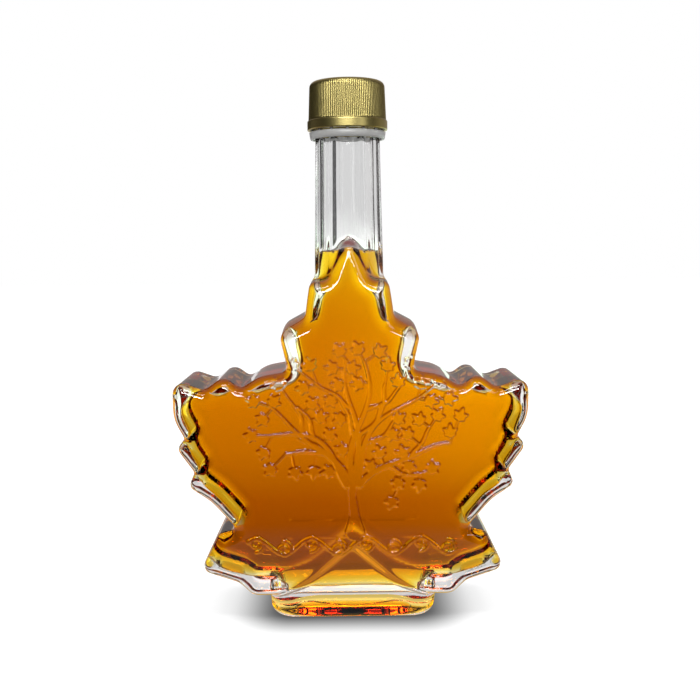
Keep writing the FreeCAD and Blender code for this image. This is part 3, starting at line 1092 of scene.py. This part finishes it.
def make_card(name, place, width, height, turn, shade):
    """An upright dark card that only glass and metal see."""
    w, h = width / 2, height / 2
    mesh = bpy.data.meshes.new(name)
    mesh.from_pydata([(-w, 0, -h), (w, 0, -h), (w, 0, h), (-w, 0, h)], [], [(0, 1, 2, 3)])
    card = bpy.data.objects.new(name, mesh)
    card.location = place
    card.rotation_euler = (0, 0, turn)
    bpy.context.collection.objects.link(card)
    material, graph, shader = new_material(name)
    colour = (shade, shade, shade, 1)
    values = {"Base Color": colour, "Roughness": 1.0, "Specular IOR Level": 0.0}
    graph.fill(shader, values)
    mesh.materials.append(material)
    card.visible_camera = False
    card.visible_diffuse = False
    card.visible_shadow = False


# ---- World, lamps and camera -------------------------------------------------------------------------------
WALL_GREY = 0.68  # brightness of the walls at the bottle's height, seen through glass
ROOM_LEVEL = 0.85  # light of the room on the floor and on dull surfaces
MIRROR_TINT = (1.06, 0.92, 0.88, 1.0)


def make_world():
    """White for the camera. Glass shows white walls behind it, and mirrors a dimmer room."""
    world = bpy.data.worlds.new("studio")
    bpy.context.scene.world = world
    world.use_nodes = True
    graph = Graph(world.node_tree)
    x, y, z = graph.coordinates("Generated")
    rays = graph.add("LightPath").outputs
    glossy, transmitted = rays["Is Glossy Ray"], rays["Is Transmission Ray"]

    walls = graph.eased(graph.math("ABSOLUTE", y), 0.0, 0.5, 0.85, 1.0)
    over_floor = graph.eased(z, -0.04, 0.04, 0.0, 1.0)
    under_top = graph.eased(z, 0.3, 0.5, 1.0, 0.0)
    walls = graph.mix(graph.math("MULTIPLY", over_floor, under_top), walls, WALL_GREY)
    to_back = graph.eased(y, -0.45, 0.7, 0.01, 0.40)
    off_left = graph.eased(x, -0.9, -0.4, 0.2, 1.0)
    mirrored = graph.math("MULTIPLY", to_back, off_left)
    in_glass = graph.mix(transmitted, mirrored, walls)
    for_others = graph.mix(glossy, ROOM_LEVEL, in_glass)
    strength = graph.mix(rays["Is Camera Ray"], for_others, 1.0)
    only_mirrored = graph.math("GREATER_THAN", glossy, transmitted)
    colour = graph.mix_colours(only_mirrored, WHITE, MIRROR_TINT)
    graph.fill(graph.nodes["Background"], {"Color": colour, "Strength": strength})


def add_lamp(name, place, aim, width, height, power, diffuse=True, glossy=True):
    """A rectangular lamp. diffuse and glossy say which kinds of surface it lights."""
    light = bpy.data.lights.new(name, "AREA")
    light.shape = "RECTANGLE"
    light.size = width
    light.size_y = height
    light.energy = power
    lamp = bpy.data.objects.new(name, light)
    lamp.location = place
    way = Vector(aim) - Vector(place)
    lamp.rotation_euler = way.to_track_quat("-Z", "Y").to_euler()
    lamp.visible_camera = False
    lamp.visible_diffuse = diffuse
    lamp.visible_glossy = glossy
    bpy.context.collection.objects.link(lamp)


BOTTLE_AIM = (0, 0, 0.08)
CAP_AIM = (0, 0, 0.16)


def make_lamps():
    """Places, widths and heights are in metres, powers in watts."""
    add_lamp("top_light", (0, 0.05, 0.75), BOTTLE_AIM, 0.5, 0.5, 4.0, glossy=False)
    add_lamp("right_light", (0.33, -0.36, 0.33), CAP_AIM, 0.14, 0.4, 0.4, diffuse=False)
    add_lamp("front_light", (-0.02, -0.42, 0.37), CAP_AIM, 0.3, 0.12, 2.4, diffuse=False)
    add_lamp("strip_light", (0, -0.25, 0.6), BOTTLE_AIM, 0.5, 0.05, 1.3)


def make_camera():
    """Looks down a little at the bottle's front, from about a third of a metre."""
    camera = bpy.data.cameras.new("camera")
    camera.lens = 49.37
    camera.sensor_width = 36.0
    camera.clip_start = 0.01
    item = bpy.data.objects.new("camera", camera)
    item.location = (0.0, -0.344, 0.131)
    pitch, roll = math.radians(90 - 6.24), math.radians(-0.676)
    turn = Euler((pitch, 0, 0)).to_matrix() @ Euler((0, 0, roll)).to_matrix()
    item.rotation_euler = turn.to_euler()
    bpy.context.collection.objects.link(item)
    bpy.context.scene.camera = item


def main():
    make_camera()
    make_world()
    make_floor()
    make_lamps()
    make_card("dark_left", (-0.199, 0.237, 0.21), 0.178, 0.18, turn=0.70, shade=0.01)
    make_card("dark_right", (0.26, 0.18, 0.2), 0.03, 0.18, turn=-0.9, shade=0.02)
    build_glass()
    build_syrup()
    build_cap()
    build_ring()
    scene = bpy.context.scene
    scene.view_settings.view_transform = "Standard"
    scene.cycles.caustics_refractive = False
    scene.cycles.caustics_reflective = False


main()
